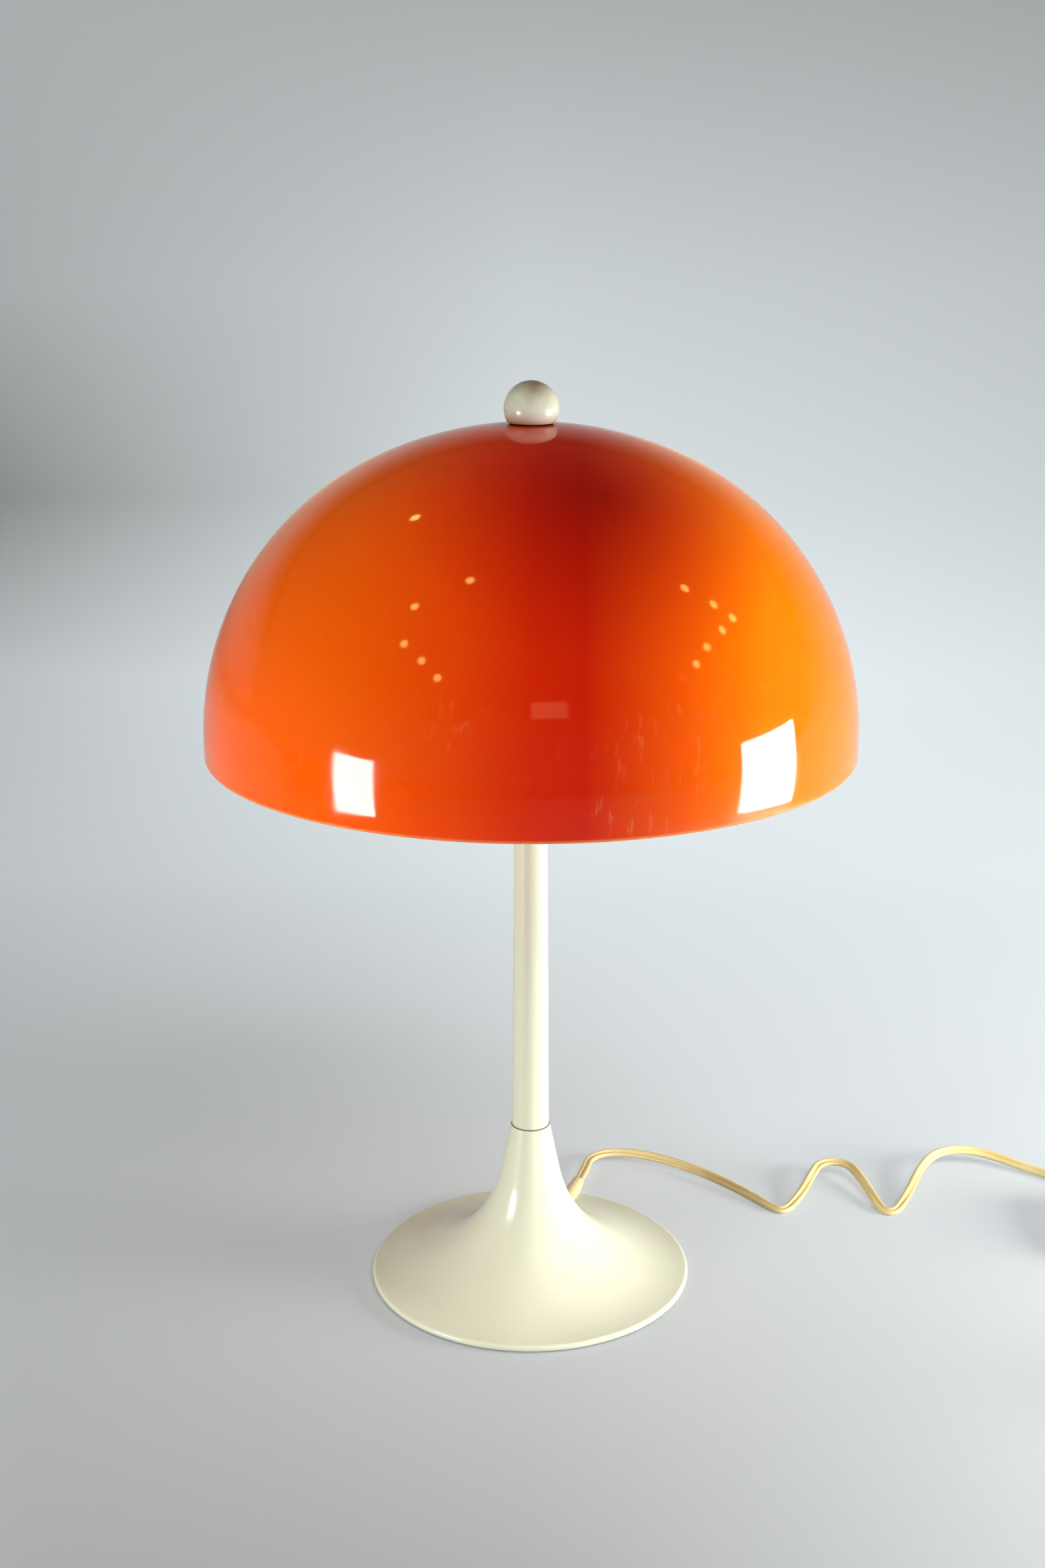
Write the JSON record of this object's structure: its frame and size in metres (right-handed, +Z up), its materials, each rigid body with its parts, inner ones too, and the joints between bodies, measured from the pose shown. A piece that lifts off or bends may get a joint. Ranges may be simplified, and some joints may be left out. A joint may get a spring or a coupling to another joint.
{
  "type": "mushroom table lamp",
  "caption": "Mushroom table lamp with a glossy dome shade, ball finial, slim stem and trumpet foot, lit by a screw-cap bulb, with a trailing flex, rocker switch and flat plug.",
  "frame": {"origin": "centre of the felt's underside, on the lamp's axis, without the flex and what is on it", "axes": "+Z up along the stem; the viewer stands on the -Y side; the flex runs off towards +X"},
  "size_m": [0.5307, 0.3, 0.4388],
  "materials": {
    "orange_acrylic": "glossy orange acrylic, slightly see-through",
    "cream_lacquer": "satin cream lacquer, yellowed by age",
    "cream_plastic": "satin cream plastic, yellowed by age",
    "flex_pvc": "twin flex, yellowed by age",
    "cast_iron": "rough casting",
    "felt": "grey-brown felt",
    "plated_steel": "zinc-plated steel",
    "nickel": "nickel-plated brass",
    "rubber": "matt rubber",
    "holder_plastic": "pale moulded plastic",
    "ceramic": "white glazed ceramic",
    "brass": "bare brass",
    "core_plastic": "insulated core",
    "pearl_glass": "pearl glass",
    "aluminium": "pressed aluminium",
    "black_glass": "black glass insulator",
    "solder": "tinned contact",
    "tie_plastic": "pale flat tie"
  },
  "bodies": {
    "lamp": {"foot_shell": "cream_lacquer", "foot_weight": "cast_iron", "felt_pad": "felt", "cord_gland": "cream_plastic", "cord_inner": "flex_pvc", "threaded_rod": "plated_steel", "rod_washer": "plated_steel", "rod_nut": "plated_steel", "spacer_tube": "plated_steel", "centering_bush": "holder_plastic", "stem_tube": "cream_lacquer", "stem_cap": "cream_plastic", "harp_saddle": "plated_steel", "harp_leg_left": "plated_steel", "harp_leg_right": "plated_steel", "carrier_disc": "plated_steel", "shade_stud": "plated_steel", "stud_nut": "plated_steel", "seat_washer": "rubber", "holder_cap": "holder_plastic", "holder_shell": "holder_plastic", "holder_insert": "ceramic", "holder_thread": "brass", "centre_contact": "brass", "terminal_screws": "brass", "lead_wire_left": "core_plastic", "lead_wire_right": "core_plastic", "cord_lamp_side": "flex_pvc", "switch_base": "cream_plastic", "switch_cover": "cream_plastic", "switch_pin": "plated_steel", "switch_contact": "brass", "switch_screws": "plated_steel", "cord_plug_side": "flex_pvc", "cord_coil": "flex_pvc", "coil_tie": "tie_plastic", "plug_body": "cream_plastic", "plug_pin_left": "nickel", "plug_pin_right": "nickel"},
    "shade": {"shade_dome": "orange_acrylic"},
    "finial_seal": {"finial_washer": "rubber"},
    "finial": {"finial_ball": "cream_plastic", "finial_insert": "brass"},
    "bulb": {"bulb_glass": "pearl_glass", "bulb_cap": "aluminium", "bulb_insulator": "black_glass", "bulb_contact": "solder"},
    "rocker": {"switch_rocker": "cream_plastic"}
  },
  "joints": [
    {"name": "shade_lift", "type": "slide", "parent": "lamp", "child": "shade", "axis": [0, 0, 1], "range_m": [0, 0.175]},
    {"name": "finial_rise", "type": "slide", "parent": "shade", "child": "finial_seal", "axis": [0, 0, 1], "range_m": [0, 0.0105]},
    {"name": "finial_turn", "type": "hinge", "parent": "finial_seal", "child": "finial", "pos_m": [0, 0, 0.4265], "axis": [0, 0, 1], "range_deg": [0, 3780]},
    {"name": "bulb_turn", "type": "hinge", "parent": "lamp", "child": "bulb", "pos_m": [0, 0, 0.29], "axis": [0, 0, 1], "range_deg": [0, 1260]},
    {"name": "switch_rock", "type": "hinge", "parent": "lamp", "child": "rocker", "pos_m": [0.302, 0.034, 0.0126], "axis": [1, 0, 0], "range_deg": [0, 20]}
  ],
  "couplings": [
    {"joint": "finial_rise", "follows": "finial_turn", "m_per_rad": 0.00015915}
  ]
}
